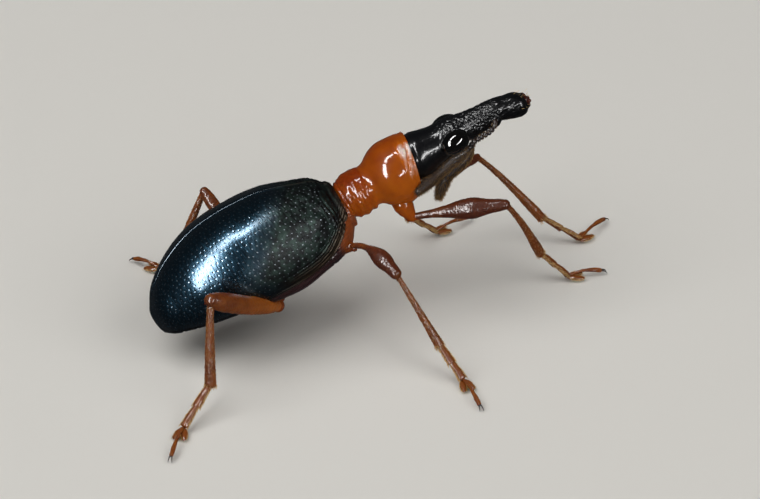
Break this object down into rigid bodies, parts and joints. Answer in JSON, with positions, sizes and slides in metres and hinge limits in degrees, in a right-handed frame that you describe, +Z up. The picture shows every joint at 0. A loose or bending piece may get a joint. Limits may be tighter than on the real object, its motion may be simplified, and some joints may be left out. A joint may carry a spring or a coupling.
{
  "type": "sweet potato weevil model",
  "caption": "Still, life-size model of a male sweet potato weevil standing on its feet with the head raised and the feelers folded back.",
  "frame": {"origin": "on the floor plane, below the centre of the box round the whole animal", "axes": "+X towards the head along the animal's heading, +Y to the animal's left, +Z up"},
  "size_m": [0.0088, 0.0062, 0.0034],
  "materials": {
    "elytra": "metallic blue-black, finely punctured",
    "prothorax": "glossy orange-red",
    "sternum": "orange-brown, satin",
    "abdomen": "black-brown, satin",
    "head": "glossy black, punctured",
    "eye": "polished black",
    "antenna": "brown, finely hairy",
    "leg": "red-brown, satin, with pale hair fringes"
  },
  "bodies": {
    "root": {"elytron_right": "elytra", "elytron_left": "elytra", "prothorax": "prothorax", "mesothorax": "sternum", "metathorax": "sternum", "abdomen": "abdomen", "head": "head", "rostrum": "head", "eye_right": "eye", "eye_left": "eye", "antenna_right_funicle": "antenna", "antenna_right_club": "antenna", "antenna_left_funicle": "antenna", "antenna_left_club": "antenna", "leg_front_right_coxa": "sternum", "leg_front_right_femur": "leg", "leg_front_right_tibia": "leg", "leg_front_right_tarsus": "leg", "leg_front_left_coxa": "sternum", "leg_front_left_femur": "leg", "leg_front_left_tibia": "leg", "leg_front_left_tarsus": "leg", "leg_middle_right_coxa": "sternum", "leg_middle_right_femur": "leg", "leg_middle_right_tibia": "leg", "leg_middle_right_tarsus": "leg", "leg_middle_left_coxa": "sternum", "leg_middle_left_femur": "leg", "leg_middle_left_tibia": "leg", "leg_middle_left_tarsus": "leg", "leg_hind_right_coxa": "sternum", "leg_hind_right_femur": "leg", "leg_hind_right_tibia": "leg", "leg_hind_right_tarsus": "leg", "leg_hind_left_coxa": "sternum", "leg_hind_left_femur": "leg", "leg_hind_left_tibia": "leg", "leg_hind_left_tarsus": "leg"}
  },
  "joints": []
}
